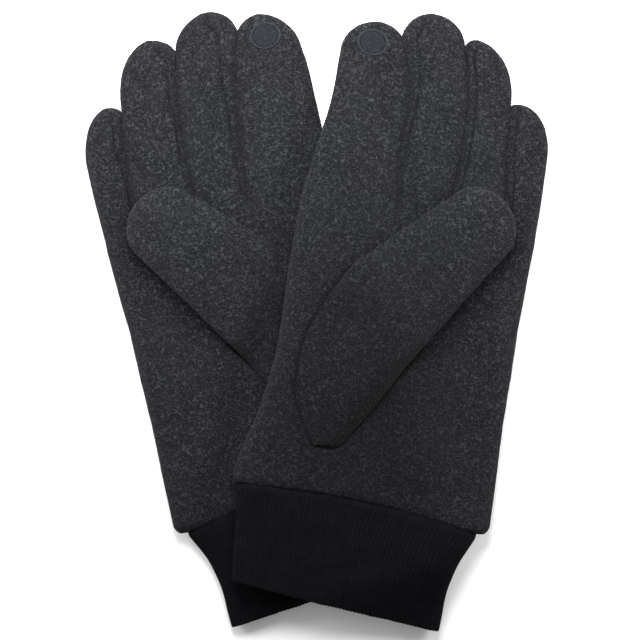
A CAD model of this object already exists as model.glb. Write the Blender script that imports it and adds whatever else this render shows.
"""A pair of brushed-wool touchscreen gloves with rib-knit cuffs, palms up, their thumbs folded over."""

import math

import bpy
import numpy as np
from bpy.props import FloatProperty, FloatVectorProperty, IntProperty, PointerProperty
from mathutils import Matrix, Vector


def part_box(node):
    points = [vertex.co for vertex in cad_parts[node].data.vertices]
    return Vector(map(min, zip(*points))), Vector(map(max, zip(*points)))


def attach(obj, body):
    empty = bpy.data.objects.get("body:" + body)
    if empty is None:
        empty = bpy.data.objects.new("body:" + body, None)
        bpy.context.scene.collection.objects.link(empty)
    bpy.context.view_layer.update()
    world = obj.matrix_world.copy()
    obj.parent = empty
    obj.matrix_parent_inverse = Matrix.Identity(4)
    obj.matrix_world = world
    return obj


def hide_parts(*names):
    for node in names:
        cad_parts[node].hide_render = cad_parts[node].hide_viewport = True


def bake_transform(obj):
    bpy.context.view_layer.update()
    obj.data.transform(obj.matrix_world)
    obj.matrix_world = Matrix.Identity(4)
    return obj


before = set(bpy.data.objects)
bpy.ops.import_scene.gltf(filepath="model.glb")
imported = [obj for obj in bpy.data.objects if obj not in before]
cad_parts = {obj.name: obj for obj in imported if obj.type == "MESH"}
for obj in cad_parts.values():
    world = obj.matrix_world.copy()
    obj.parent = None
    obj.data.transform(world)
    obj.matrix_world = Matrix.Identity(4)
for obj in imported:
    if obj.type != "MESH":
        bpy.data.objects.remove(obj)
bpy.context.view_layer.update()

bl_info = {
    "name": "Wool Touchscreen Gloves",
    "version": (1, 0, 0),
    "blender": (4, 5, 0),
    "location": "View3D > Sidebar > Gloves",
    "description": "Makes a pair of lined wool gloves with rib cuffs and touch pads around a packed frame",
    "category": "Add Mesh",
}

# ---- The gloves laid out flat, in millimetres in each glove's own frame: y runs from the hem towards the
# ---- fingertips and x from the thumb side towards the little finger

MM = 0.001
LEFT, RIGHT = 1, -1
SIDES = {LEFT: "left", RIGHT: "right"}
TURN = {LEFT: math.radians(-9), RIGHT: math.radians(13)}
ORIGIN = {LEFT: (7.43, -122.92), RIGHT: (5.83, -118.22)}

GLOVE_THICKNESS = 11.0
CUFF_THICKNESS = 9.0
HEM_HALF_WIDTH = 46.0
# Height of the cuff's top at the thumb side and at the far side, and how far it bows up between them
CUFF_TOPS = (46.4, 40.2)
CUFF_RISE = 4.0
# The hem slants: its height at the thumb side and at the far side
HEM_SLANT = (4.5, -4.5)
# The outline's two sides from the cuff to the finger roots, as (y, x)
THUMB_SIDE = (
    (30, -53), (47, -53), (56, -51.5), (75, -46.5), (100, -43), (140, -43), (160, -42.6), (172, -42),
)
FAR_SIDE = {
    LEFT: ((30, 60.4), (43, 60.4), (90, 59.2), (130, 59.3), (150, 59.9), (168, 60.6), (180, 60.6)),
    RIGHT: ((30, 60.6), (43, 60.6), (90, 59.8), (130, 60.2), (150, 61.2), (168, 61.8), (180, 61.8)),
}
# The cuff's far side as (share of the height, share of the hem's half width)
CUFF_FAR_SIDE = ((0, 1), (0.45, 1.02), (0.7, 1.08), (0.9, 1.17), (1, 1.22))
# The finger roots on each glove: the thumb side, the three crotches and the far side
ROOTS = {
    LEFT: ((-42.0, 172.0), (-0.5, 172.0), (21.6, 180.0), (44.6, 171.0), (60.6, 168.0)),
    RIGHT: ((-42.0, 172.0), (-2.4, 172.0), (19.3, 180.0), (45.9, 171.0), (61.8, 168.0)),
}
# The lines that bound the fingers, from the roots to the shoulders of the tips, as (y, x)
EDGES = {
    LEFT: (
        ((172, -42), (192, -39.4), (205, -37.4), (220, -36), (237, -35.4)),
        ((172, -0.5), (186, -3), (203, -3), (220, -2.7), (234, -5.6), (245.7, -10.2)),
        ((180, 21.6), (194, 22.6), (210, 22.8), (227, 21.8), (239, 19.5), (246, 17)),
        ((171, 44.6), (184, 44.4), (203, 42.4), (217, 41.3), (225, 40.8)),
        ((168, 60.6), (180, 60.6), (196, 60.4), (204, 60.2)),
    ),
    RIGHT: (
        ((172, -42), (190, -40.9), (210, -41.2), (224, -41), (233, -39.9)),
        ((172, -2.4), (191, -3.9), (205, -5.5), (218, -7.6), (230, -10), (239, -12.4), (246.5, -14.8)),
        ((180, 19.3), (190, 19.6), (200, 19.2), (213, 18), (224, 17), (234, 15.4), (242, 13.4)),
        ((171, 45.9), (186, 46), (200, 45.2), (209, 44.4), (216, 43.3), (222, 41.7)),
        ((168, 61.8), (180, 62), (192, 62.2), (202, 62.2)),
    ),
}

# How the top glove drapes over the one underneath
DRAPE_HEIGHT = 8.7
DRAPE_BUMP = 4.2
DRAPE_CENTRE = (-5.77, -13.22)
DRAPE_SPREAD = 28.0
RIDGE = ((1.23, 83.78), (56.23, -103.22))
LOWER_HEM = ((49.23, -103.22), (-34.77, -131.22))
COVER_EDGE = ((1.23, 83.78), (-38.77, -67.22))
PRESSED_SHARE = 0.27


class Finger:
    """How one finger of one glove is cut."""

    def __init__(self, shoulders, apex, fullness, seams):
        # y at which the tip begins to round off on the near and the far side
        self.shoulders = shoulders
        self.apex = apex
        # How square the tip's near and far corners are: 1 for an ellipse, more for a narrower tip
        self.fullness = fullness
        # Distance of the side strip's seam from the near edge: at the root, halfway and at the shoulder
        self.seams = seams


FINGER_NAMES = ("index", "middle", "ring", "little")
SEGMENTS = (46, 34, 34, 26)
FINGERS = {
    LEFT: (
        Finger((237, 237), (-20.5, 251.3), (1, 1), None),
        Finger((245.7, 244.5), (2.5, 258), (1, 1), (2, 2.8, 6.3)),
        Finger((245.5, 226), (22.5, 250.2), (1, 1.15), (3.2, 3.8, 4.6)),
        Finger((223.5, 204), (45, 225.4), (1, 1), (3.5, 3.9, 3.6)),
    ),
    RIGHT: (
        Finger((233, 239), (-24.5, 251), (1.25, 1), None),
        Finger((245.7, 241.5), (-2.5, 256.4), (1, 1.3), (2.5, 3.6, 8.5)),
        Finger((242, 224), (24, 250.5), (1.3, 1.12), (2, 2.8, 5)),
        Finger((221.5, 202), (48.3, 226), (1, 1.15), (0.9, 1.9, 5.2)),
    ),
}
# y at which each finger's fold begins and ends
# Exponent of a finger's section, 1 for an ellipse and less for a squarer one, and its width over thickness
ROUNDNESS = 0.74
FINGER_ASPECT = 2.4
# Share of the full thickness that a finger keeps at its shoulders
SHOULDER_THICKNESS = 0.93
# Neighbouring fingers press this far into one another
PRESS_IN = 0.2
# Share of a finger's half width that its neighbour presses flat
FLATTENED = 0.13
# Length over which the valley between two fingers runs out into the palm
VALLEY_LENGTH = 12.0
# Half widths of a finger's seam, of the valley between two fingers and of the seam round the gusset
SEAM_WIDTH = 0.6
VALLEY_WIDTH = 2.2
GUSSET_SEAM_WIDTH = 0.7
PAD_CENTRES = {LEFT: (-22.3, 241.6), RIGHT: (-25.9, 240.6)}

# The thumb lies along its own axis, t, from its fold at the origin to its tip
THUMB_SEGMENTS = 52
THUMB_ORIGIN = np.array((3.5, 133.0))
THUMB_ANGLE = math.radians(40)
THUMB_THICKNESS = 10.0
# Thickness at the root of the underneath glove's thumb, which the top glove presses
THUMB_PRESSED = 6.0
THUMB_LIFT = 1.1
THUMB_ROOT_HALF = 23.0
THUMB_SHOULDER = 50.0
THUMB_SHOULDER_HALF = 17.0
THUMB_TIP = 64.0
# Where along the thumb its fold begins and ends
# The gusset runs back over the palm from the fold, and its foot is rounded off
GUSSET_LENGTH = 66.0
GUSSET_FOOT = 8.0
# The gusset on the palm: distance back from the fold, near side, far side
GUSSET = (
    (0, -23, 23), (11, -21.5, 24.5), (25, -18.5, 27), (38, -13.5, 29.5), (50, -5, 31), (60, 6, 31.5),
    (GUSSET_LENGTH, 20, 28),
)
# The gusset's height as (share of its length back from the fold, share of the thumb's height)
GUSSET_OPEN = ((0, 1), (0.25, 0.86), (0.5, 0.62), (0.8, 0.3), (1, 0.06))
GUSSET_PRESSED = ((0, 0.64), (0.12, 0.36), (0.5, 0.28), (1, 0.06))


def smooth(x):
    """Eases from 0 to 1 as x goes from 0 to 1."""
    c = np.clip(x, 0, 1)
    return c * c * (3 - 2 * c)


def mix(a, b, t):
    """a where t is 0 and b where it is 1."""
    return a * (1 - t) + b * t


def curve(rows, x):
    """Looks x up in rows of (x, value), on a smooth curve through the rows."""
    xs, ys = np.array(rows, float).T
    slopes = np.gradient(ys, xs)
    i = np.clip(np.searchsorted(xs, x) - 1, 0, len(xs) - 2)
    h = xs[i + 1] - xs[i]
    t = np.clip((x - xs[i]) / h, 0, 1)
    through = mix(ys[i], ys[i + 1], smooth(t))
    return through + t * (1 - t) * h * (slopes[i] * (1 - t) - slopes[i + 1] * t)


def beside(line, x, y):
    """Signed distance from the line, positive on the left of the way along it."""
    (ax, ay), (bx, by) = line
    dx, dy = bx - ax, by - ay
    return (dx * (y - ay) - dy * (x - ax)) / math.hypot(dx, dy)


def on_table(side, x, y):
    """A glove's own x and y, turned and moved to where it lies."""
    a = TURN[side]
    ox, oy = ORIGIN[side]
    return ox + side * x * math.cos(a) - y * math.sin(a), oy + side * x * math.sin(a) + y * math.cos(a)


def drape(x, y):
    """Height of the top glove's underside above the table."""
    squared = (x - DRAPE_CENTRE[0]) ** 2 + (y - DRAPE_CENTRE[1]) ** 2
    bump = np.exp(-squared / DRAPE_SPREAD**2 / 2)
    off_ridge = smooth((-beside(RIDGE, x, y) + 32) / 38)
    off_hem = smooth((-beside(LOWER_HEM, x, y) + 28) / 30)
    return (DRAPE_HEIGHT + DRAPE_BUMP * bump) * off_ridge * off_hem


def pressed(x, y):
    """How far the underneath glove is pressed flat under the top one."""
    return 1 - PRESSED_SHARE * smooth((beside(COVER_EDGE, x, y) + 15) / 15)


def placed(side, points):
    """Points of a glove laid out flat, in millimetres, placed in the frame, in metres."""
    x, y = on_table(side, points[..., 0], points[..., 1])
    z = points[..., 2]
    z = z + drape(x, y) if side == LEFT else z * pressed(x, y)
    return np.stack([x, y, z], -1) * MM


# ---- Surfaces


def lumps(points, size, seed):
    """Smooth noise from -1 to 1 in lumps of that size."""
    q = points / size + seed * 17.3
    cell = np.floor(q).astype(np.int64)
    f = smooth(q - cell)
    total = 0
    for corner in np.ndindex(2, 2, 2):
        c = cell + np.array(corner)
        h = (c[..., 0] * 73856093) ^ (c[..., 1] * 19349663) ^ (c[..., 2] * 83492791) ^ (seed * 6971)
        h = ((h ^ (h >> 13)) * 60493) & 0xFFFFFF
        h = ((h ^ (h >> 11)) * 19937) & 0xFFFFFF
        weight = np.prod(np.where(np.array(corner), f, 1 - f), axis=-1)
        total = total + weight * (h / 0x7FFFFF - 1)
    return total


def normals_of(grid, closed=True):
    """Unit normals, pointing out, of a grid of points whose columns run round a ring if closed."""
    if closed:
        wide = np.concatenate([grid[:, -1:], grid, grid[:, :1]], 1)
        across = (wide[:, 2:] - wide[:, :-2]) / 2
    else:
        across = np.gradient(grid, axis=1)
    along = np.gradient(grid, axis=0)
    n = np.cross(across, along)
    return n / np.maximum(np.linalg.norm(n, axis=-1, keepdims=True), 1e-9)


def half_section(count):
    """Points of the upper half of a flattened finger's section, from (-1, 0) to (1, 0), evenly spaced."""
    a = np.linspace(math.pi, 0, 1441)
    x = np.sign(np.cos(a)) * np.abs(np.cos(a)) ** ROUNDNESS
    z = np.abs(np.sin(a)) ** ROUNDNESS
    arc = np.concatenate([[0], np.cumsum(np.hypot(np.diff(x) * FINGER_ASPECT, np.diff(z)))])
    at = np.linspace(0, arc[-1], count + 1)
    x, z = np.interp(at, arc, x), np.interp(at, arc, z)
    x[0], x[-1], z[0], z[-1] = -1, 1, 0, 0
    return x, z


def finger_section(segments, index):
    """A finger's section: x if it lies free, x if its neighbours press it flat, and z."""
    x, z = half_section(segments)
    flat = np.where(x < 0, x * (1 + FLATTENED * (index > 0)), x * (1 + FLATTENED * (index < 3)))
    return x, np.clip(flat, -1, 1), z


def ring_faces(first, second):
    """Faces between two rings of vertices, or between each two of them."""
    corners = [first, np.roll(first, -1, -1), np.roll(second, -1, -1), second]
    return np.stack(corners, -1).reshape(-1, 4)


def mesh_object(name, grids, side, stitched=(), caps=(), mark=None, shared=None):
    """A mesh of several ringed grids of points in millimetres.

    stitched joins the rims of two grids: (grid, row, grid, row). caps close a ring: (grid, row).
    mark is a value from 0 to 1 over the first grid, for its material.
    shared is (row, normals) of a row of the first grid that another piece carries on.
    """
    vertices, rings, faces = [], [], []
    total = 0
    for points in grids:
        rows, columns = points.shape[:2]
        ring = total + np.arange(rows * columns).reshape(rows, columns)
        rings.append(ring)
        faces.append(ring_faces(ring[:-1], ring[1:]))
        vertices.append(placed(side, points).reshape(-1, 3))
        total += rows * columns
    for first, first_row, second, second_row in stitched:
        faces.append(ring_faces(rings[first][first_row], rings[second][second_row]))
    for which, row in caps:
        ring = rings[which][row]
        turned = np.roll(ring, -1)
        flat = np.concatenate(vertices)
        vertices.append(flat[ring].mean(0)[None])
        centre = np.full(len(ring), len(flat))
        faces.append(np.stack([ring, turned, centre] if row else [turned, ring, centre], -1))
    mesh = bpy.data.meshes.new(name)
    polygons = [face for part in faces for face in part.tolist()]
    mesh.from_pydata(np.concatenate(vertices).tolist(), [], polygons)
    if side == RIGHT:
        mesh.flip_normals()
    mesh.update()
    mesh.polygons.foreach_set("use_smooth", np.ones(len(mesh.polygons), bool))
    if mark is not None:
        values = np.zeros(len(mesh.vertices))
        values[: mark.size] = mark.ravel()
        mesh.attributes.new("Mark", "FLOAT", "POINT").data.foreach_set("value", values)
    if shared is not None:
        row, normals = shared
        custom = np.zeros((len(mesh.vertices), 3))
        custom[rings[0][row]] = normals
        mesh.normals_split_custom_set_from_vertices(custom.tolist())
    piece = bpy.data.objects.new(name, mesh)
    bpy.context.scene.collection.objects.link(piece)
    return piece


# ---- The hand

HAND_ROWS = 150
# The wool starts this far below the cuff's top
CUFF_LAP = 0.8
# Above that it rolls in over this height: by this much at the thumb side, at the far side and in thickness
ROLL_HEIGHT = 4.5
ROLL_IN = (3.4, 3.8)
ROLL_DOWN = 1.4
# The hand is thinner at the wrist: its share of the full thickness, and the heights that it grows between
WRIST_THICKNESS = 0.9
WRIST_RISE = (42, 72)
# Width over which the hand's sides are rounded
SIDE_ROUNDING = 11
# The seam allowance inside the palm: from where to where back from the thumb's fold, and how far from the
# gusset at both ends
ALLOWANCE = (18, 60)
ALLOWANCE_WIDTH = (5.2, 1.6)


def settings():
    """The sizes and colours set for the gloves."""
    return bpy.context.scene.gloves


def finger_roots(side, index):
    """The two ends of a finger's root line."""
    return [np.array(p, float) for p in ROOTS[side][index : index + 2]]


def hand_columns(side):
    """Each column over the hand: x if it ran free, then x, y and share of the half thickness at the roots."""
    columns = [[], [], [], []]
    for index, segments in enumerate(SEGMENTS):
        (ax, ay), (bx, by) = finger_roots(side, index)
        free, flat, z = finger_section(segments, index)
        free, flat = (free + 1) / 2, (flat + 1) / 2
        for column, values in zip(columns, (mix(ax, bx, free), mix(ax, bx, flat), mix(ay, by, flat), z)):
            column += list(values[1 if index else 0 :])
    return [np.array(column) for column in columns]


def hand_column_of(index, finger_column):
    """The hand ring's column that carries on into that column of a finger's ring."""
    total, first, segments = sum(SEGMENTS), sum(SEGMENTS[:index]), SEGMENTS[index]
    below = finger_column > segments
    column = first + np.where(below, 2 * segments - finger_column, finger_column)
    return np.where(below, 2 * total - column, column) % (2 * total)


def cuff_top(share):
    """Height of the cuff's top, at a share of the way across."""
    return mix(*CUFF_TOPS, share) + CUFF_RISE * np.sin(math.pi * share)


def side_profile(d):
    """Share of the full half thickness at distance d from the side of the hand."""
    c = 1 - np.clip(d / SIDE_ROUNDING, 0, 1)
    return (1 - c**3) ** 0.6


def hand_half(side, t_rows, inset, up):
    """One half of the hand's surface as a grid: rows from the cuff seam to the finger roots."""
    free, xs, ys, zs = hand_columns(side)
    share = ((free - free[0]) / (free[-1] - free[0]))[None]
    t = np.asarray(t_rows)[:, None]
    low = cuff_top(share) - CUFF_LAP
    y = mix(low, ys[None], t)
    # The cloth rolls in where it is gathered into the cuff
    roll = 1 - np.clip((y - low) / ROLL_HEIGHT, 0, 1)
    tuck = 1 - np.sqrt(1 - roll**2)
    left = curve(THUMB_SIDE, y) + inset + ROLL_IN[0] * tuck
    right = curve(FAR_SIDE[side], y) - inset - ROLL_IN[1] * tuck
    x = mix(left, right, share)
    from_side = np.minimum(x - left, right - x)
    wrist, palm = WRIST_RISE
    full = GLOVE_THICKNESS / 2 * mix(WRIST_THICKNESS, 1, smooth((y - wrist) / (palm - wrist)))
    plain = (full - ROLL_DOWN * tuck) * side_profile(from_side)
    lobed = GLOVE_THICKNESS / 2 * zs[None]
    valley = smooth((y - (ys[None] - VALLEY_LENGTH)) / VALLEY_LENGTH)
    half = np.maximum(mix(plain, lobed, valley) - inset, 0.03)
    if not inset:
        # The wool's columns meet those of the fingers
        x = x + (xs[None] - x[-1:]) * smooth((t - 0.85) / 0.15)
    return np.stack([x, y, GLOVE_THICKNESS / 2 + (half if up else -half)], -1)


def hand_grid(side, t_rows, inset):
    """The hand as rings: over the palm from the thumb side to the far side, and back under it."""
    top = hand_half(side, t_rows, inset, True)
    bottom = hand_half(side, t_rows, inset, False)
    return np.concatenate([top, bottom[:, -2:0:-1]], 1)


def gusset_edge(back, far):
    """The gusset's near or far side, at that distance back from the thumb's fold."""
    return curve([(row[0], row[2] if far else row[1]) for row in GUSSET], back)


def palm_seams(points):
    """Nearness to the seam round the thumb's gusset, and to the edge of its allowance inside the palm."""
    p, t = thumb_frame(points)
    back = -t
    around = np.full(p.shape, np.inf)
    for distance in np.linspace(4, GUSSET_LENGTH, 160):
        for edge in thumb_sides(-distance):
            around = np.minimum(around, np.hypot(p - edge, back - distance))
    start, end = ALLOWANCE
    width = mix(*ALLOWANCE_WIDTH, (back - start) / (end - start))
    beyond = np.abs(p - gusset_edge(back, True) - width)
    allowance = np.exp(-((beyond / GUSSET_SEAM_WIDTH) ** 2)) * ((back > start) & (back < end))
    return np.exp(-((around / GUSSET_SEAM_WIDTH) ** 2)), allowance


def cloth_relief(points, amount=1.0):
    """Height of the cloth's soft unevenness: (height, size of the lumps, seed) from coarse to fine."""
    layers = ((0.32, 21.0, 3), (0.14, 7.0, 5), (0.07, 2.3, 7), (0.045, 0.9, 11))
    return amount * sum(height * lumps(points, size, seed) for height, size, seed in layers)


def gathers(points, above):
    """Puckers where the wool is sewn to the cuff."""
    return 0.35 * np.exp(-above / 5) * lumps(points * np.array((1, 0.25, 0.25)), 3.1, 13)


def hand_rows(count):
    """Shares of the way up the hand, closer together where the cloth rolls into the cuff."""
    t = np.linspace(0, 1, count + 1)
    return np.concatenate([[0, 0.15 / count, 0.4 / count, 0.7 / count], t[1:]])


def hand_relief(points):
    """Height of the hand's cloth, and its nearness to the gusset's seam."""
    above = points[..., 1] - points[:1, :, 1]
    top = (np.arange(points.shape[1]) <= sum(SEGMENTS))[None]
    seam, allowance = (np.where(top, near, 0) for near in palm_seams(points))
    relief = cloth_relief(points) + gathers(points, above) + 0.25 * allowance
    return relief - settings().seam_depth * seam, seam


def hand_shell(side):
    """The wool palm and back, sewn together along the sides."""
    outer = hand_grid(side, hand_rows(HAND_ROWS), 0.0)
    # One more row, from the fingers, so that the cloth runs on smoothly over the roots
    beyond = outer[-1:].copy()
    for index in range(4):
        finger = finger_grid(side, index, finger_stations(side, index, SPACING)[:2], 0.0)
        beyond[0, hand_column_of(index, np.arange(finger.shape[1]))] = finger[1]
    outer = np.concatenate([outer, beyond])
    relief, seam = hand_relief(outer)
    outer = outer + normals_of(outer) * relief[..., None]
    normals = normals_of(placed(side, outer))[-2] * side
    outer, seam = outer[:-1], seam[:-1]
    inner = hand_grid(side, hand_rows(38), settings().cloth)
    return mesh_object(
        f"{SIDES[side]}_hand_wool",
        [outer, inner[::-1]],
        side,
        stitched=[(0, -1, 1, 0), (1, -1, 0, 0)],
        mark=seam,
        shared=(-1, normals),
    )


# ---- Fingers

# Distance between a finger's rings
SPACING = 0.8


def finger_edges(side, index, s, inset=0.0):
    """Points on the finger's two edges at stations s: 0 at the root, 1 at the shoulders, 2 at the apex."""
    finger = FINGERS[side][index]
    s = np.asarray(s, float)
    a = math.pi / 2 * np.clip(s - 1, 0, 1)
    tip_x, tip_y = finger.apex[0], finger.apex[1] - inset
    edges = []
    for n, outwards in enumerate((-1, 1)):
        line = EDGES[side][index + n]
        shoulder_x = curve(line, finger.shoulders[n])
        shoulder_y = finger.shoulders[n] - inset
        y = mix(line[0][0], shoulder_y, np.clip(s, 0, 1))
        rounded = tip_x + (shoulder_x - tip_x) * np.cos(a) ** finger.fullness[n]
        x = np.where(s <= 1, curve(line, y), rounded)
        y = np.where(s <= 1, y, mix(shoulder_y, tip_y, np.sin(a)))
        touching = (index > 0, index < 3)[n]
        x = x + outwards * touching * PRESS_IN * smooth(s / 0.03) * smooth((1.2 - s) / 0.3)
        edges.append(np.stack([x, y], -1))
    return edges


def finger_grid(side, index, stations, inset, coarser=1):
    """A finger as rings: over its palm side from the thumb side, and back under it."""
    s = np.asarray(stations, float)
    near, far = finger_edges(side, index, s, inset)
    free, flat, sz = finger_section(SEGMENTS[index] // coarser, index)
    pressing = 0.0 if inset else smooth((1.25 - s) / 0.45)[:, None]
    cx = mix(free[None], flat[None], pressing)
    cx = np.concatenate([cx, cx[:, -2:0:-1]], 1)
    sz = np.concatenate([sz, -sz[-2:0:-1]])
    across = far - near
    width = np.linalg.norm(across, axis=1, keepdims=True)
    round_off = np.where(s <= 1, 1, np.cos(math.pi / 2 * np.clip(s - 1, 0, 1)))[:, None]
    keep = np.clip(1 - 2 * inset * round_off / np.maximum(width, 1e-6), 0.05, 1)
    fullness = GLOVE_THICKNESS / 2 * mix(1, SHOULDER_THICKNESS, np.clip(s, 0, 1))
    half = (fullness - inset) * round_off[:, 0] ** 0.7
    xy = ((near + far) / 2)[:, None] + (across * keep / 2)[:, None] * cx[..., None]
    z = GLOVE_THICKNESS / 2 + half[:, None] * sz[None]
    return np.concatenate([xy, z[..., None]], -1)


def finger_stations(side, index, spacing):
    """Stations along a finger that are about that far apart, short of the very apex."""
    finger = FINGERS[side][index]
    near, far = (line[0][0] for line in EDGES[side][index : index + 2])
    length = (sum(finger.shoulders) - near - far) / 2
    tip = finger.apex[1] - sum(finger.shoulders) / 2
    straight = np.linspace(0, 1, max(4, round(length / spacing)) + 1)
    curved = 1 + np.linspace(0, 1, max(8, round(1.7 * tip / spacing)) + 1)[1:-1] ** 0.85 * 0.99
    return np.concatenate([straight, curved])


def finger_seams(grid, side, index, stations):
    """Nearness to the seam between a finger's palm side and the strip along its near side."""
    if not FINGERS[side][index].seams:
        return np.zeros(grid.shape[:2])
    root, middle, shoulder = FINGERS[side][index].seams
    near, _ = finger_edges(side, index, stations)
    s = stations[:, None]
    offset = curve(((0, root), (0.5, middle), (1, shoulder), (2, shoulder)), s)
    from_seam = np.abs(grid[..., 0] - near[:, None, 0]) - offset
    return np.exp(-((from_seam / SEAM_WIDTH) ** 2)) * smooth(s / 0.08) * smooth((1.6 - s) / 0.35)


def finger_valleys(grid, side, index, stations):
    """Nearness to the neighbouring fingers."""
    dark = np.zeros(grid.shape[:2])
    for edge, touches in zip(finger_edges(side, index, stations), (index > 0, index < 3)):
        if touches:
            dark = np.maximum(dark, np.exp(-(((grid[..., 0] - edge[:, None, 0]) / VALLEY_WIDTH) ** 2)))
    s = stations[:, None]
    return dark * smooth((1.15 - s) / 0.3) * smooth(s / 0.03)


def finger_relief(grid, side, index, stations):
    """Height of the finger's cloth, and how dark its seam and its valleys are."""
    seam = finger_seams(grid, side, index, stations)
    valley = finger_valleys(grid, side, index, stations)
    return cloth_relief(grid) - settings().seam_depth * seam, np.maximum(0.8 * seam, 0.5 * valley)


def finger_shell(side, index):
    """A finger's wool: its front, its back and the strips between them."""
    stations = finger_stations(side, index, SPACING)
    outer = finger_grid(side, index, stations, 0.0)
    # One row of the hand before the root, so that the cloth runs on smoothly
    hand = hand_grid(side, hand_rows(HAND_ROWS)[-2:-1], 0.0)
    before = hand[:, hand_column_of(index, np.arange(outer.shape[1]))]
    outer = np.concatenate([before, outer])
    stations = np.concatenate([[0], stations])
    relief, seam = finger_relief(outer, side, index, stations)
    relief = relief * smooth((1.99 - stations)[:, None] / 0.08)
    outer = outer + normals_of(outer) * relief[..., None]
    normals = normals_of(placed(side, outer))[1] * side
    outer, seam = outer[1:], seam[1:]
    inner = finger_grid(side, index, finger_stations(side, index, 3.0), settings().cloth)
    return mesh_object(
        f"{SIDES[side]}_{FINGER_NAMES[index]}_wool",
        [outer, inner[::-1]],
        side,
        stitched=[(1, -1, 0, 0)],
        caps=[(0, -1), (1, 0)],
        mark=seam,
        shared=(0, normals),
    )


def bend_finger(piece):
    """Bends the piece with its finger, at the finger's fold."""
    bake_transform(piece)


# ---- Thumb

# Length over which the thumb's section turns into the gusset's
HOOD_BLEND = 20
THUMB_SEAM_WIDTH = 0.75


def thumb_xy(p, t):
    """The glove's own x and y of a place at p across the thumb and t along it."""
    c, s = math.cos(THUMB_ANGLE), math.sin(THUMB_ANGLE)
    return THUMB_ORIGIN[0] + p * c + t * s, THUMB_ORIGIN[1] - p * s + t * c


def thumb_frame(points):
    """How far points are across the thumb and along it."""
    c, s = math.cos(THUMB_ANGLE), math.sin(THUMB_ANGLE)
    dx, dy = points[..., 0] - THUMB_ORIGIN[0], points[..., 1] - THUMB_ORIGIN[1]
    return dx * c - dy * s, dx * s + dy * c


def thumb_round_off(t):
    """Share of its width that the thumb keeps at t, as its tip rounds off."""
    end = np.clip((t - THUMB_SHOULDER) / (THUMB_TIP - THUMB_SHOULDER), 0, 1)
    return np.sqrt(1 - end**2)


def thumb_sides(t):
    """The thumb's edges at t, its tip and the foot of its gusset rounded off."""
    back = np.clip(-t, 0, GUSSET_LENGTH)
    half = mix(THUMB_ROOT_HALF, THUMB_SHOULDER_HALF, np.clip(t / THUMB_SHOULDER, 0, 1)) * thumb_round_off(t)
    near = np.where(t >= 0, -half, gusset_edge(back, False))
    far = np.where(t >= 0, half, gusset_edge(back, True))
    foot = np.clip((back - GUSSET_LENGTH + GUSSET_FOOT) / GUSSET_FOOT, 0, 1)
    middle = (near + far) / 2
    close = np.sqrt(1 - foot**2)
    return middle + (near - middle) * close, middle + (far - middle) * close


def thumb_grid(side, t, inset, segments):
    """The thumb and its gusset as rings across them, from the foot of the gusset to the tip."""
    t = np.asarray(t, float)
    near, far = thumb_sides(t)
    cx, sz = half_section(segments)
    width = np.maximum(far - near, 1e-6)
    round_off = thumb_round_off(t)
    keep = np.clip(1 - 2 * inset * round_off / width, 0.05, 1)
    p = ((near + far) / 2)[:, None] + (width * keep / 2)[:, None] * cx[None]
    thickness = np.full(t.shape, THUMB_THICKNESS)
    if side == RIGHT:
        thickness = mix(THUMB_PRESSED, THUMB_THICKNESS, smooth(t / 30))
    half = ((thickness / 2 - inset) * round_off**0.7)[:, None]
    centre = (GLOVE_THICKNESS + THUMB_LIFT + thickness / 2)[:, None]
    heights = GUSSET_OPEN if side == LEFT else GUSSET_PRESSED
    back = np.clip(-t, 0, GUSSET_LENGTH) / GUSSET_LENGTH
    rise = (THUMB_THICKNESS + THUMB_LIFT) * curve(heights, back)[:, None]
    # Over the gusset the far side stays steep, and the near side slopes down to the seam in the palm
    merge = smooth((-t - 1) / HOOD_BLEND)[:, None]
    lip = 0.05 * smooth((p - near[:, None]) / 1.2)
    slope = lip + (1 - lip) * smooth(((cx[None] + 1) / 2 - 0.02) / 0.85) ** 1.15
    steep = mix(sz[None], (1 - np.abs(cx) ** 7)[None], merge)
    rounder = np.where(cx < 0, (1 - cx**2) ** 0.7, steep)
    shape = mix(rounder, np.minimum(rounder, slope), merge)
    # The gusset starts a little below the palm's surface
    sunk = 0.3
    foot = GLOVE_THICKNESS - sunk
    hood = smooth(-t / HOOD_BLEND)[:, None]
    z_top = mix(centre + half * rounder, foot + (rise + sunk) * shape - inset, hood)
    z_bottom = mix(centre - half * sz[None], foot - sunk, hood)
    z_bottom = np.minimum(z_bottom, z_top - 0.02 * (hood > 0))
    x, y = thumb_xy(p, t[:, None])
    top, bottom = (np.stack([x, y, z], -1) for z in (z_top, z_bottom))
    return np.concatenate([top, bottom[:, -2:0:-1]], 1)


def thumb_stations(spacing):
    """Places along the thumb and its gusset that are about that far apart, closer at the two rounded ends."""
    tip_steps, foot_steps = round(24 / spacing), round(14 / spacing)
    rounded = np.sin(np.linspace(0, math.pi / 2, tip_steps + 1))[1:-1]
    tip = THUMB_SHOULDER + (THUMB_TIP - THUMB_SHOULDER) * rounded
    foot_start = GUSSET_FOOT - GUSSET_LENGTH
    foot = foot_start - GUSSET_FOOT * np.sin(np.linspace(math.pi / 2, 0, foot_steps + 1))[1:-1]
    straight = np.linspace(foot_start, THUMB_SHOULDER, round((THUMB_SHOULDER - foot_start) / spacing))
    return np.concatenate([foot, straight, tip])


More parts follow.
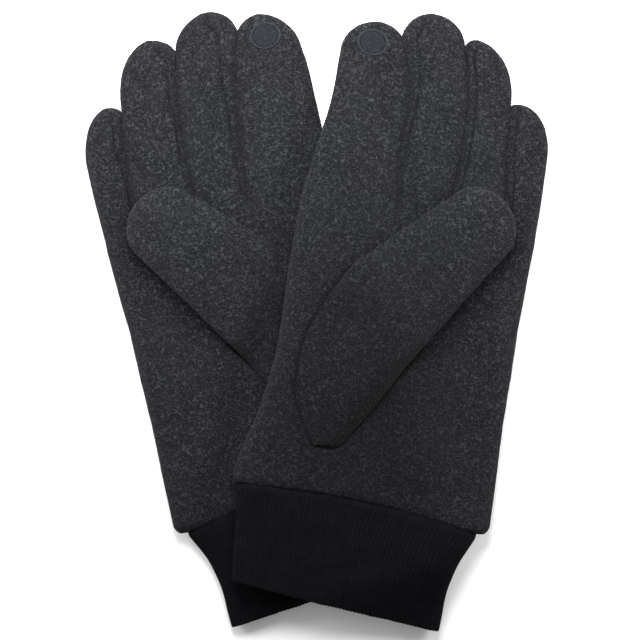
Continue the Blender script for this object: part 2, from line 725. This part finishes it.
def thumb_shell(side):
    """The thumb's wool, with the gusset that is set into the palm."""
    t = thumb_stations(0.85)
    outer = thumb_grid(side, t, 0.0, THUMB_SEGMENTS)
    rows, columns = outer.shape[:2]
    top = (np.arange(columns) <= THUMB_SEGMENTS)[None]
    p, _ = thumb_frame(outer)
    near = thumb_sides(t)[0][:, None]
    hood = smooth((-t - 2) / 12)[:, None]
    seam = np.exp(-(((p - near) / THUMB_SEAM_WIDTH) ** 2)) * hood * top
    ends = smooth(np.minimum(np.arange(rows), np.arange(rows)[::-1]) / 3)[:, None]
    relief = cloth_relief(outer, 1.1) * ends * np.where(top | (t[:, None] > 0), 1 - 0.8 * hood * seam, 0)
    outer = outer + normals_of(outer) * relief[..., None]
    return mesh_object(f"{SIDES[side]}_thumb_wool", [outer], side, caps=[(0, -1), (0, 0)], mark=seam)


def bend_thumb(piece):
    """Bends the piece with its thumb, at the thumb's fold."""
    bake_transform(piece)


# ---- Cuff

POINTS_PER_RIB = 6
# The cuff's thumb side at its top, as a share of its half width at the hem
CUFF_FLARE = 1.09
# Width over which the cuff's sides are rounded
CUFF_ROUNDING = 7
# How far the cuff's top is drawn in under the wool, and the share of its height where that starts
CUFF_DRAWN_IN = 0.9
CUFF_DRAWN_FROM = 0.93


def cuff_ring(t, inset, count):
    """The cuff's section at height t, as evenly spaced points round it."""
    u = np.linspace(0, 1, 401)
    near = -HEM_HALF_WIDTH * mix(1, CUFF_FLARE, t) + inset
    far = HEM_HALF_WIDTH * curve(CUFF_FAR_SIDE, t) - inset
    x = mix(near, far, (1 - np.cos(math.pi * u)) / 2)
    from_side = np.clip(np.minimum(x - near, far - x) / CUFF_ROUNDING, 0, 1)
    profile = np.sqrt(np.clip(1 - (1 - from_side) ** 2, 0, 1))
    half = np.maximum(CUFF_THICKNESS / 2 * profile - inset, 0.02)
    z0 = CUFF_THICKNESS / 2 + (GLOVE_THICKNESS - CUFF_THICKNESS) / 2 * t
    x = np.concatenate([x, x[-2:0:-1]])
    z = z0 + np.concatenate([half, -half[-2:0:-1]])
    hem = mix(*HEM_SLANT, (x + HEM_HALF_WIDTH) / (2 * HEM_HALF_WIDTH))
    y = mix(hem, cuff_top((x - near) / (far - near)), t)
    arc = np.hypot(np.diff(np.append(x, x[0])), np.diff(np.append(z, z[0])))
    arc = np.concatenate([[0], np.cumsum(arc)])
    at = np.linspace(0, arc[-1], count, endpoint=False)
    return np.stack([np.interp(at, arc, np.append(v, v[0])) for v in (x, y, z)], -1)


def cuff_shell(side):
    """The rib-knit cuff, folded double at the hem."""
    s = settings()
    count = s.ribs * POINTS_PER_RIB
    wall = s.cuff_wall
    # (height up the cuff, inset, drop below the hem)
    rows = [(t, 0.0, 0.0) for t in np.linspace(1.02, 0.0, 46)]
    for h in np.linspace(0, math.pi, 9)[1:-1]:
        rows.append((0.0, wall / 2 * (1 - math.cos(h)), wall / 2 * math.sin(h)))
    rows += [(t, wall, 0.0) for t in np.linspace(0.0, 1.0, 24)]
    grid = []
    for t, inset, drop in rows:
        drawn_in = CUFF_DRAWN_IN * smooth((t - CUFF_DRAWN_FROM) / (1 - CUFF_DRAWN_FROM))
        ring = cuff_ring(t, inset + drawn_in, count)
        ring[:, 1] -= drop
        grid.append(ring)
    grid = np.array(grid)
    rib = s.rib_depth * (np.cos(2 * math.pi * np.arange(count) / POINTS_PER_RIB) / 2 - 0.5)
    shallower = np.array([1 - 0.8 * smooth((t - 0.9) / 0.1) for t, _, _ in rows])[:, None]
    wobble = 0.12 * lumps(grid * np.array((1, 0.2, 1)), 2.2, 17) + 0.25 * lumps(grid, 11.0, 19)
    grid = grid - normals_of(grid) * (rib[None] * shallower + wobble)[..., None]
    return mesh_object(f"{SIDES[side]}_cuff_rib", [grid[::-1]], side, stitched=[(0, -1, 0, 0)])


# ---- Linings

# Room between the wool and its lining
LINING_GAP = 0.25


def lining_insets():
    """How far the lining's two faces lie inside the wool's outer face."""
    s = settings()
    outer = s.cloth + LINING_GAP
    return outer, outer + s.fleece


def hand_lining(side):
    """The fleece inside the hand, with a napped inner face."""
    outer, inner = (hand_grid(side, hand_rows(40), inset) for inset in lining_insets())
    inner = inner - normals_of(inner) * 0.1 * (1 + lumps(inner, 2.4, 23))[..., None]
    return mesh_object(
        f"{SIDES[side]}_hand_fleece", [outer, inner[::-1]], side, stitched=[(0, -1, 1, 0), (1, -1, 0, 0)]
    )


def sleeve_with_end(name, side, outer, inner):
    """A lining closed at its tip, from its two faces."""
    return mesh_object(name, [outer, inner[::-1]], side, stitched=[(1, -1, 0, 0)], caps=[(0, -1), (1, 0)])


def finger_lining(side, index):
    stations = finger_stations(side, index, 2.4)[:-1]
    outer, inner = (finger_grid(side, index, stations, inset, coarser=2) for inset in lining_insets())
    return sleeve_with_end(f"{SIDES[side]}_{FINGER_NAMES[index]}_fleece", side, outer, inner)


def thumb_lining(side):
    stations = np.array([t for t in thumb_stations(2.6) if 0.5 <= t < THUMB_TIP - 3])
    outer, inner = (thumb_grid(side, stations, inset, 24) for inset in lining_insets())
    return sleeve_with_end(f"{SIDES[side]}_thumb_fleece", side, outer, inner)


# ---- Touch pads

# The border's two ridges, as shares of the pad's radius: their middle, half width and height
PAD_RIDGES = ((0.955, 0.03, 1), (0.86, 0.025, 0.55))
# Shares of the radius at which the stitches end and the rim slopes down
PAD_FILLED = 0.78
PAD_RIM = 0.97
STITCH_RADIUS = 0.27
# Heights of the pad's rim and of its stitches above the cloth, and how far the pad reaches down into it
PAD_RISE = 0.12
STITCH_RISE = 0.3
PAD_SUNK = 0.3


def touch_pad(side, name, centre, top, facing, angle):
    """A stitched disc: a raised border ring with rows of small stitches inside it.

    top gives the height of the cloth. facing is 1 for a pad that faces up and -1 for one that faces down.
    """
    s = settings()
    rings = np.concatenate([np.linspace(0.0, 0.8, 44)[1:], np.linspace(0.81, 1.0, 16)])
    count = 150
    r, w = np.meshgrid(rings, 2 * math.pi * np.arange(count) / count, indexing="ij")
    px, py = s.pad_width / 2 * r * np.cos(w), s.pad_length / 2 * r * np.sin(w)
    border = sum(height * np.exp(-(((r - middle) / width) ** 2)) for middle, width, height in PAD_RIDGES)
    pitch = s.pad_stitch_pitch
    row_pitch = 0.87 * pitch
    row = np.round(py / row_pitch)
    column = px / pitch - 0.5 * (row % 2)
    gap = np.hypot((column - np.round(column)) * pitch, py - row * row_pitch)
    stitches = np.exp(-((gap / STITCH_RADIUS) ** 2)) * (r < PAD_FILLED)
    rim = 1 - smooth((r - PAD_RIM) / (1 - PAD_RIM))
    raised = np.maximum(border, stitches)
    ca, sa = math.cos(angle), math.sin(angle)
    x = centre[0] + px * ca - py * sa
    y = centre[1] + px * sa + py * ca
    face = np.stack([x, y, top(x, y) + facing * (PAD_RISE * rim + STITCH_RISE * raised)], -1)
    underside = np.stack([x, y, top(x, y) - facing * PAD_SUNK], -1)
    if facing > 0:
        face, underside, raised = face[:, ::-1], underside[:, ::-1], raised[:, ::-1]
    grids = [face, underside[::-1]]
    return mesh_object(
        f"{SIDES[side]}_{name}", grids, side, stitched=[(0, -1, 1, 0)], caps=[(0, 0), (1, -1)], mark=raised
    )


def index_pad(side):
    """The pad on the index fingertip, which follows the fingertip's crown."""
    finger = FINGERS[side][0]
    (near,), (far,) = finger_edges(side, 0, [1.0])

    def crown(x, y):
        base = (near[1] + far[1]) / 2
        a = np.arcsin(np.clip((y - base) / (finger.apex[1] - base), 0, 0.98))
        wide = (far[0] - near[0]) / 2 * np.cos(a)
        mid = mix((near[0] + far[0]) / 2, finger.apex[0], 1 - np.cos(a))
        across = np.clip(np.abs(x - mid) / wide, 0, 0.97)
        half = GLOVE_THICKNESS / 2 * SHOULDER_THICKNESS * np.cos(a) ** 0.7
        return GLOVE_THICKNESS / 2 + half * (1 - across ** (2 / ROUNDNESS)) ** (ROUNDNESS / 2) + 0.1

    return touch_pad(side, "index_touch_pad_disc", PAD_CENTRES[side], crown, 1, 0.0)


def thumb_pad(side):
    """The pad on the thumb tip, which faces the palm."""

    def underside(x, y):
        return np.full_like(x, GLOVE_THICKNESS + THUMB_LIFT - 0.1)

    centre = thumb_xy(0.0, THUMB_SHOULDER)
    return touch_pad(side, "thumb_touch_pad_disc", centre, underside, -1, -THUMB_ANGLE)


# ---- Materials


def plug(tree, value, socket):
    """Sets a socket to a value, or links it from another socket."""
    if isinstance(value, bpy.types.NodeSocket):
        tree.links.new(value, socket)
    else:
        socket.default_value = value


def node(tree, kind, **given):
    """A node with its settings, named with a leading _, and its inputs, by name or as i0, i1 and so on."""
    made = tree.nodes.new(kind)
    for key, value in given.items():
        if key.startswith("_"):
            setattr(made, key[1:], value)
    for key, value in given.items():
        if not key.startswith("_"):
            numbered = key[0] == "i" and key[1:].isdigit()
            plug(tree, value, made.inputs[int(key[1:]) if numbered else key])
    return made


def noise(tree, place, scale, detail):
    return node(tree, "ShaderNodeTexNoise", Vector=place, Scale=scale, Detail=detail).outputs


def vector_node(tree, operation, **given):
    return node(tree, "ShaderNodeVectorMath", _operation=operation, **given).outputs


def remap(tree, value, low, high, to_low=0.0, to_high=1.0, **given):
    """Spreads values from low to high over to_low to to_high."""
    ends = {"i1": low, "i2": high, "i3": to_low, "i4": to_high}
    return node(tree, "ShaderNodeMapRange", Value=value, **ends, **given).outputs[0]


def node_group(name, inputs, output, build):
    """A shader node group with one output, built once. An input without a default is a vector."""
    if name in bpy.data.node_groups:
        return bpy.data.node_groups[name]
    group = bpy.data.node_groups.new(name, "ShaderNodeTree")
    for label, default in inputs.items():
        kind = "NodeSocketVector" if default is None else "NodeSocketFloat"
        socket = group.interface.new_socket(label, in_out="INPUT", socket_type=kind)
        if default is not None:
            socket.default_value = default
    group.interface.new_socket(output, in_out="OUTPUT", socket_type="NodeSocketFloat")
    source = group.nodes.new("NodeGroupInput")
    sink = group.nodes.new("NodeGroupOutput")
    build(group, source.outputs, sink.inputs)
    return group


def math_node(tree, operation, a, b=0.0, clamp=False):
    return node(tree, "ShaderNodeMath", _operation=operation, _use_clamp=clamp, i0=a, i1=b).outputs[0]


def build_fibres(tree, given, result):
    """Short curled fibres lying on cloth, at random."""
    place = vector_node(tree, "ADD", i0=given["Position"], i1=given["Offset"])[0]
    warp = noise(tree, place, 0.55, 1.0)["Color"]
    curl = vector_node(tree, "SCALE", i0=warp, Scale=given["Curl"])[0]
    curled = vector_node(tree, "ADD", i0=place, i1=curl)[0]
    field = noise(tree, curled, given["Density"], 0.0)["Fac"]
    ridge = math_node(tree, "ABSOLUTE", math_node(tree, "SUBTRACT", field, 0.5))
    line = remap(tree, ridge, 0.0, given["Width"], 1.0, 0.0)
    kept = remap(tree, noise(tree, place, 0.65, 1.0)["Fac"], 0.46, 0.54)
    tree.links.new(math_node(tree, "MULTIPLY", line, kept), result["Fibres"])


def fibres_group():
    inputs = {"Position": None, "Offset": None, "Density": 0.5, "Curl": 3.0, "Width": 0.03}
    return node_group("Lying fibres", inputs, "Fibres", build_fibres)


def build_mottle(tree, given, result):
    """Felted wool's mottling: fine specks over softer patches."""
    layers = [noise(tree, given["Position"], given[size], 2.0)["Fac"] for size in ("Speck", "Patch")]
    fine, patch = (remap(tree, layer, 0.3, 0.7) for layer in layers)
    mixed = node(tree, "ShaderNodeMix", i0=given["Patchiness"], i2=fine, i3=patch).outputs[0]
    tree.links.new(mixed, result["Mottle"])


def mottle_group():
    inputs = {"Position": None, "Speck": 1.1, "Patch": 0.12, "Patchiness": 0.3}
    return node_group("Felt mottle", inputs, "Mottle", build_mottle)


def millimetres(tree):
    """The surface's own position in millimetres."""
    place = node(tree, "ShaderNodeTexCoord").outputs["Object"]
    return vector_node(tree, "SCALE", i0=place, Scale=1 / MM)[0]


def new_material(name):
    """A material, its node tree and its shader."""
    material = bpy.data.materials.new(name)
    material.use_nodes = True
    tree = material.node_tree
    return material, tree, tree.nodes["Principled BSDF"]


def use_group(tree, group, **given):
    """A node group placed in a material with its own values: its first output."""
    made = tree.nodes.new("ShaderNodeGroup")
    made.node_tree = group
    for key, value in given.items():
        plug(tree, value, made.inputs[key])
    return made.outputs[0]


def mottled(tree, place, speck, patch, patchiness):
    return use_group(tree, mottle_group(), Position=place, Speck=speck, Patch=patch, Patchiness=patchiness)


def colour_between(tree, factor, dark, light):
    """dark where the factor is 0 and light where it is 1: each a colour or a socket."""
    made = node(tree, "ShaderNodeMix", _data_type="RGBA", i0=factor)
    for socket, value in ((made.inputs[6], dark), (made.inputs[7], light)):
        plug(tree, value if isinstance(value, bpy.types.NodeSocket) else (*value, 1), socket)
    return made.outputs[2]


def finish_cloth(tree, shader, colour, height, strength, depth, **uniform):
    """Puts a cloth's colour, its relief and the values that are the same all over on its shader."""
    tree.links.new(colour, shader.inputs["Base Color"])
    bump = node(tree, "ShaderNodeBump", Strength=strength, Distance=depth, Height=height)
    tree.links.new(bump.outputs[0], shader.inputs["Normal"])
    for name, value in uniform.items():
        shader.inputs[name.replace("_", " ")].default_value = value


def mark_of(tree):
    """The Mark written on the mesh: seams and valleys, or raised stitches."""
    return node(tree, "ShaderNodeAttribute", _attribute_name="Mark").outputs["Fac"]


# The layers of curled fibres on the wool: offset in millimetres, density, width and strength
FIBRE_LAYERS = (
    ((0, 0, 0), 0.45, 0.042, 0.75),
    ((41, 13, 7), 0.36, 0.03, 0.9),
    ((-23, 57, 31), 0.62, 0.058, 0.6),
    ((71, -19, 53), 0.5, 0.04, 0.7),
)
# The nap lies flat, and looks darker, round the heel of the palm: the middle of that patch, how much it is
# narrowed across and along, and where its fading starts and ends, in millimetres
NAP_CENTRE = (20, -45, 0)
NAP_STRETCH = (1.5, 0.8, 0)
NAP_INNER, NAP_OUTER = 10, 115
# Brightness of the flat and of the raised nap
NAP_FLAT, NAP_RAISED = 0.55, 1.12


def nap(tree, place):
    """Brightness of the wool's nap at that place."""
    away = vector_node(tree, "SUBTRACT", i0=place, i1=NAP_CENTRE)[0]
    away = vector_node(tree, "MULTIPLY", i0=away, i1=NAP_STRETCH)[0]
    away = vector_node(tree, "LENGTH", i0=away)["Value"]
    return remap(tree, away, NAP_INNER, NAP_OUTER, NAP_FLAT, NAP_RAISED, _interpolation_type="SMOOTHSTEP")


def wool_material(name):
    s = settings()
    material, tree, shader = new_material(name)
    place = millimetres(tree)
    mottle = mottled(tree, place, 1.3, 0.08, 0.3)
    colour = colour_between(tree, mottle, s.wool_dark, s.wool_light)
    all_fibres = 0.0
    for offset, density, width, strength in FIBRE_LAYERS:
        fibres = use_group(
            tree, fibres_group(), Position=place, Offset=offset, Density=density, Curl=2.2, Width=width
        )
        fibres = math_node(tree, "MULTIPLY", fibres, strength)
        colour = colour_between(tree, fibres, colour, s.wool_fibre)
        all_fibres = math_node(tree, "MAXIMUM", all_fibres, fibres)
    seam = math_node(tree, "MULTIPLY", mark_of(tree), 1.1, clamp=True)
    colour = colour_between(tree, seam, colour, s.seam_shade)
    colour = vector_node(tree, "SCALE", i0=colour, Scale=nap(tree, place))[0]
    height = math_node(tree, "MULTIPLY", math_node(tree, "ADD", mottle, all_fibres), 0.6)
    finish_cloth(
        tree, shader, colour, height, 0.7, 0.0005,
        Roughness=0.95, Specular_IOR_Level=0.02, Sheen_Weight=0.025, Sheen_Roughness=0.7,
    )
    return material


def rib_material(name):
    s = settings()
    material, tree, shader = new_material(name)
    place = millimetres(tree)
    mottle = mottled(tree, place, 1.6, 0.2, 0.3)
    colour = colour_between(tree, mottle, s.rib_dark, s.rib_light)
    # Rows of knit loops up the cuff
    loop_pitch = 0.85
    up = node(tree, "ShaderNodeSeparateXYZ", Vector=place).outputs[1]
    loops = math_node(tree, "SINE", math_node(tree, "MULTIPLY", up, 2 * math.pi / loop_pitch))
    loops = math_node(tree, "MULTIPLY", loops, 0.25)
    height = math_node(tree, "ADD", loops, math_node(tree, "MULTIPLY", mottle, 0.6))
    finish_cloth(
        tree, shader, colour, height, 0.5, 0.0002,
        Roughness=0.9, Specular_IOR_Level=0.03, Sheen_Weight=0.005, Sheen_Roughness=0.5,
    )
    return material


def fleece_material(name):
    s = settings()
    material, tree, shader = new_material(name)
    mottle = mottled(tree, millimetres(tree), 0.9, 0.2, 0.4)
    colour = colour_between(tree, mottle, s.rib_light, s.wool_dark)
    finish_cloth(tree, shader, colour, mottle, 0.7, 0.0004, Roughness=1.0, Sheen_Weight=0.4)
    return material


def pad_material(name):
    s = settings()
    material, tree, shader = new_material(name)
    mottle = mottled(tree, millimetres(tree), 3.2, 0.5, 0.3)
    ground = colour_between(tree, mottle, s.wool_dark, s.wool_light)
    thread = colour_between(tree, mottle, s.pad_dark, s.pad_light)
    colour = colour_between(tree, mark_of(tree), ground, thread)
    finish_cloth(tree, shader, colour, mottle, 0.5, 0.0002, Roughness=0.8, Specular_IOR_Level=0.05)
    return material


# The material that fills each slot: its name and what makes it
MATERIALS = {
    "brushed_wool": ("Brushed heather wool", wool_material),
    "rib_knit": ("Black rib knit", rib_material),
    "fleece_lining": ("Dark fleece", fleece_material),
    "conductive_pad": ("Conductive thread", pad_material),
}


def dress(piece, slot):
    """Gives the piece the material of that slot, which is made once."""
    name, build = MATERIALS[slot]
    piece.data.materials.append(bpy.data.materials.get(name) or build(name))


# ---- Settings


class GloveSettings(bpy.types.PropertyGroup):
    """Sizes in millimetres and colours of the pair of gloves."""

    cloth: FloatProperty(name="Cloth", description="Thickness of the wool", default=1.5, min=1, max=2)
    fleece: FloatProperty(name="Fleece", description="Thickness of the lining", default=0.7, min=0.5, max=1.2)
    seam_depth: FloatProperty(
        name="Seam depth", description="Depth of the seams", default=0.75, min=0, max=1.5
    )
    cuff_wall: FloatProperty(
        name="Cuff wall", description="Thickness of the double rib", default=2, min=1, max=2.5
    )
    ribs: IntProperty(name="Ribs", description="Ribs round one cuff", default=112, min=60, max=160)
    rib_depth: FloatProperty(
        name="Rib depth", description="Depth between two ribs", default=0.35, min=0.1, max=1
    )
    pad_width: FloatProperty(
        name="Pad width", description="Pad across the finger", default=13.4, min=8, max=16
    )
    pad_length: FloatProperty(
        name="Pad length", description="Pad along the finger", default=11.6, min=8, max=16
    )
    pad_stitch_pitch: FloatProperty(
        name="Pad stitches", description="Distance between two stitches", default=1, min=0.5, max=2
    )
    wool_dark: FloatVectorProperty(
        name="Wool dark", description="Darkest wool in the heather",
        subtype="COLOR", size=3, default=(0.0018, 0.00195, 0.0026),
    )
    wool_light: FloatVectorProperty(
        name="Wool light", description="Lightest wool in the heather",
        subtype="COLOR", size=3, default=(0.0068, 0.0071, 0.0088),
    )
    wool_fibre: FloatVectorProperty(
        name="Wool fibre", description="Light fibres lying on the wool",
        subtype="COLOR", size=3, default=(0.026, 0.0272, 0.0305),
    )
    seam_shade: FloatVectorProperty(
        name="Seam shade", description="Wool down in the seams",
        subtype="COLOR", size=3, default=(0.002, 0.0021, 0.0027),
    )
    rib_dark: FloatVectorProperty(
        name="Rib dark", description="Darkest yarn of the cuff",
        subtype="COLOR", size=3, default=(0.0014, 0.0014, 0.002),
    )
    rib_light: FloatVectorProperty(
        name="Rib light", description="Lightest yarn of the cuff",
        subtype="COLOR", size=3, default=(0.0044, 0.0044, 0.0056),
    )
    pad_dark: FloatVectorProperty(
        name="Pad dark", description="Darkest conductive thread",
        subtype="COLOR", size=3, default=(0.022, 0.025, 0.029),
    )
    pad_light: FloatVectorProperty(
        name="Pad light", description="Lightest conductive thread",
        subtype="COLOR", size=3, default=(0.04, 0.045, 0.051),
    )


class StageSettings(bpy.types.PropertyGroup):
    """The floor, the lights and the camera."""

    floor_size: FloatProperty(name="Floor", description="Side of the floor", default=6, unit="LENGTH")
    camera_height: FloatProperty(
        name="Camera height", description="Height of the camera above the floor", default=1.1, unit="LENGTH"
    )
    view_width: FloatProperty(
        name="View width", description="Width that the camera takes in", default=0.2752, unit="LENGTH"
    )
    key_power: FloatProperty(
        name="Key light", description="Power of the large soft light", default=2.9, unit="POWER"
    )
    side_power: FloatProperty(
        name="Side lights", description="Power of each side light", default=1.15, unit="POWER"
    )
    sky: FloatProperty(name="Sky", description="Strength of the light from all round", default=0.42, min=0)


# ---- The stage

FLOOR_HEIGHT = -0.0006
# The point of the floor that the camera looks at
VIEW_CENTRE = (0.0005, -0.0004)


def soft_light(name, power, size, place, towards):
    """A round area light."""
    lamp = bpy.data.lights.new(name, "AREA")
    lamp.shape = "DISK"
    lamp.size = size
    lamp.energy = power
    light = bpy.data.objects.new(name, lamp)
    light.location = place
    light.rotation_euler = (Vector(towards) - light.location).to_track_quat("-Z", "Y").to_euler()
    bpy.context.scene.collection.objects.link(light)


def pale_floor(size):
    """A pale, faintly clouded floor just under the gloves."""
    bpy.ops.mesh.primitive_plane_add(size=size, location=(0, 0, FLOOR_HEIGHT))
    floor = bpy.context.object
    floor.name = "Floor"
    material, tree, shader = new_material("Pale floor")
    grain = noise(tree, millimetres(tree), 0.02, 2.0)["Fac"]
    colour = colour_between(tree, grain, (0.9, 0.9, 0.9), (0.93, 0.93, 0.93))
    tree.links.new(colour, shader.inputs["Base Color"])
    shader.inputs["Roughness"].default_value = 0.9
    floor.data.materials.append(material)


def soft_room(strength):
    """Even white light from all round."""
    world = bpy.data.worlds.new("Soft room")
    world.use_nodes = True
    background = world.node_tree.nodes["Background"]
    background.inputs["Color"].default_value = (1, 1, 1, 1)
    background.inputs["Strength"].default_value = strength
    bpy.context.scene.world = world


def camera_above(height, view_width):
    """A camera that looks straight down and takes in that width halfway up the gloves."""
    camera = bpy.data.cameras.new("Camera")
    camera.sensor_width = 36.0
    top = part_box("left_hand_lining")[1][2]
    camera.lens = camera.sensor_width * (height - top / 2) / view_width
    eye = bpy.data.objects.new("Camera", camera)
    eye.location = (*VIEW_CENTRE, height)
    bpy.context.scene.collection.objects.link(eye)
    bpy.context.scene.camera = eye


# ---- Operators


class GLOVES_OT_hands(bpy.types.Operator):
    """Makes the wool hands and their linings"""

    bl_idname = "gloves.hands"
    bl_label = "Hands"

    def execute(self, context):
        for side, name in SIDES.items():
            shell = hand_shell(side)
            dress(shell, "brushed_wool")
            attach(shell, f"{name}_hand")
            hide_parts(f"{name}_palm_panel", f"{name}_back_panel")
            lining = hand_lining(side)
            dress(lining, "fleece_lining")
            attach(lining, f"{name}_hand")
            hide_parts(f"{name}_hand_lining")
        return {"FINISHED"}


class GLOVES_OT_fingers(bpy.types.Operator):
    """Makes the wool fingers and their linings, which bend at their folds"""

    bl_idname = "gloves.fingers"
    bl_label = "Fingers"

    def execute(self, context):
        for side, name in SIDES.items():
            for index, finger in enumerate(FINGER_NAMES):
                nodes = [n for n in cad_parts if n.startswith(f"{name}_{finger}_")]
                nodes = [n for n in nodes if "touch_pad" not in n]
                linings = [n for n in nodes if n.endswith("lining")]
                shell = finger_shell(side, index)
                dress(shell, "brushed_wool")
                bend_finger(shell)
                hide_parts(*[n for n in nodes if n not in linings])
                lining = finger_lining(side, index)
                dress(lining, "fleece_lining")
                bend_finger(lining)
                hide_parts(*linings)
        return {"FINISHED"}


class GLOVES_OT_thumbs(bpy.types.Operator):
    """Makes the wool thumbs with their gussets, and their linings"""

    bl_idname = "gloves.thumbs"
    bl_label = "Thumbs"

    def execute(self, context):
        for side, name in SIDES.items():
            shell = thumb_shell(side)
            dress(shell, "brushed_wool")
            bend_thumb(shell)
            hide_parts(f"{name}_thumb_gusset", f"{name}_thumb_back", f"{name}_thumb_front")
            lining = thumb_lining(side)
            dress(lining, "fleece_lining")
            bend_thumb(lining)
            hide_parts(f"{name}_thumb_lining")
        return {"FINISHED"}


class GLOVES_OT_cuffs(bpy.types.Operator):
    """Makes the rib-knit cuffs"""

    bl_idname = "gloves.cuffs"
    bl_label = "Cuffs"

    def execute(self, context):
        for side, name in SIDES.items():
            cuff = cuff_shell(side)
            dress(cuff, "rib_knit")
            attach(cuff, f"{name}_hand")
            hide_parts(f"{name}_cuff")
        return {"FINISHED"}


class GLOVES_OT_pads(bpy.types.Operator):
    """Makes the conductive pads on the index fingertips and the thumb tips"""

    bl_idname = "gloves.pads"
    bl_label = "Touch Pads"

    def execute(self, context):
        for side, name in SIDES.items():
            pad = index_pad(side)
            dress(pad, "conductive_pad")
            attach(pad, f"{name}_index_finger")
            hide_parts(f"{name}_index_touch_pad")
            pad = thumb_pad(side)
            dress(pad, "conductive_pad")
            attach(pad, f"{name}_thumb")
            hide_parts(f"{name}_thumb_touch_pad")
        return {"FINISHED"}


class GLOVES_OT_stage(bpy.types.Operator):
    """Makes the pale floor, the soft light and the camera"""

    bl_idname = "gloves.stage"
    bl_label = "Stage"

    def execute(self, context):
        s = context.scene.glove_stage
        pale_floor(s.floor_size)
        soft_room(s.sky)
        soft_light("Key", s.key_power, size=0.28, place=(-0.02, 0.2, 0.24), towards=(0, 0.08, 0))
        for name, x in (("Left side", -1), ("Right side", 1)):
            soft_light(name, s.side_power, size=0.2, place=(0.3 * x, 0.08, 0.14), towards=(0.1 * x, 0.06, 0))
        camera_above(s.camera_height, s.view_width)
        context.scene.view_settings.view_transform = "Standard"
        return {"FINISHED"}


class GLOVES_PT_panel(bpy.types.Panel):
    """Lists the pieces of the gloves"""

    bl_idname = "GLOVES_PT_panel"
    bl_label = "Wool Gloves"
    bl_space_type = "VIEW_3D"
    bl_region_type = "UI"
    bl_category = "Gloves"

    def draw(self, context):
        for operator in OPERATORS:
            self.layout.operator(operator.bl_idname)
        for group in (context.scene.gloves, context.scene.glove_stage):
            for name in group.__annotations__:
                self.layout.prop(group, name)


OPERATORS = (
    GLOVES_OT_stage,
    GLOVES_OT_hands,
    GLOVES_OT_fingers,
    GLOVES_OT_thumbs,
    GLOVES_OT_cuffs,
    GLOVES_OT_pads,
)
CLASSES = (GloveSettings, StageSettings, *OPERATORS, GLOVES_PT_panel)


def register():
    for cls in CLASSES:
        bpy.utils.register_class(cls)
    bpy.types.Scene.gloves = PointerProperty(type=GloveSettings)
    bpy.types.Scene.glove_stage = PointerProperty(type=StageSettings)


def unregister():
    del bpy.types.Scene.gloves
    del bpy.types.Scene.glove_stage
    for cls in reversed(CLASSES):
        bpy.utils.unregister_class(cls)


def main():
    register()
    bpy.ops.gloves.stage()
    bpy.ops.gloves.hands()
    bpy.ops.gloves.fingers()
    bpy.ops.gloves.thumbs()
    bpy.ops.gloves.cuffs()
    bpy.ops.gloves.pads()


if __name__ == "__main__":
    main()
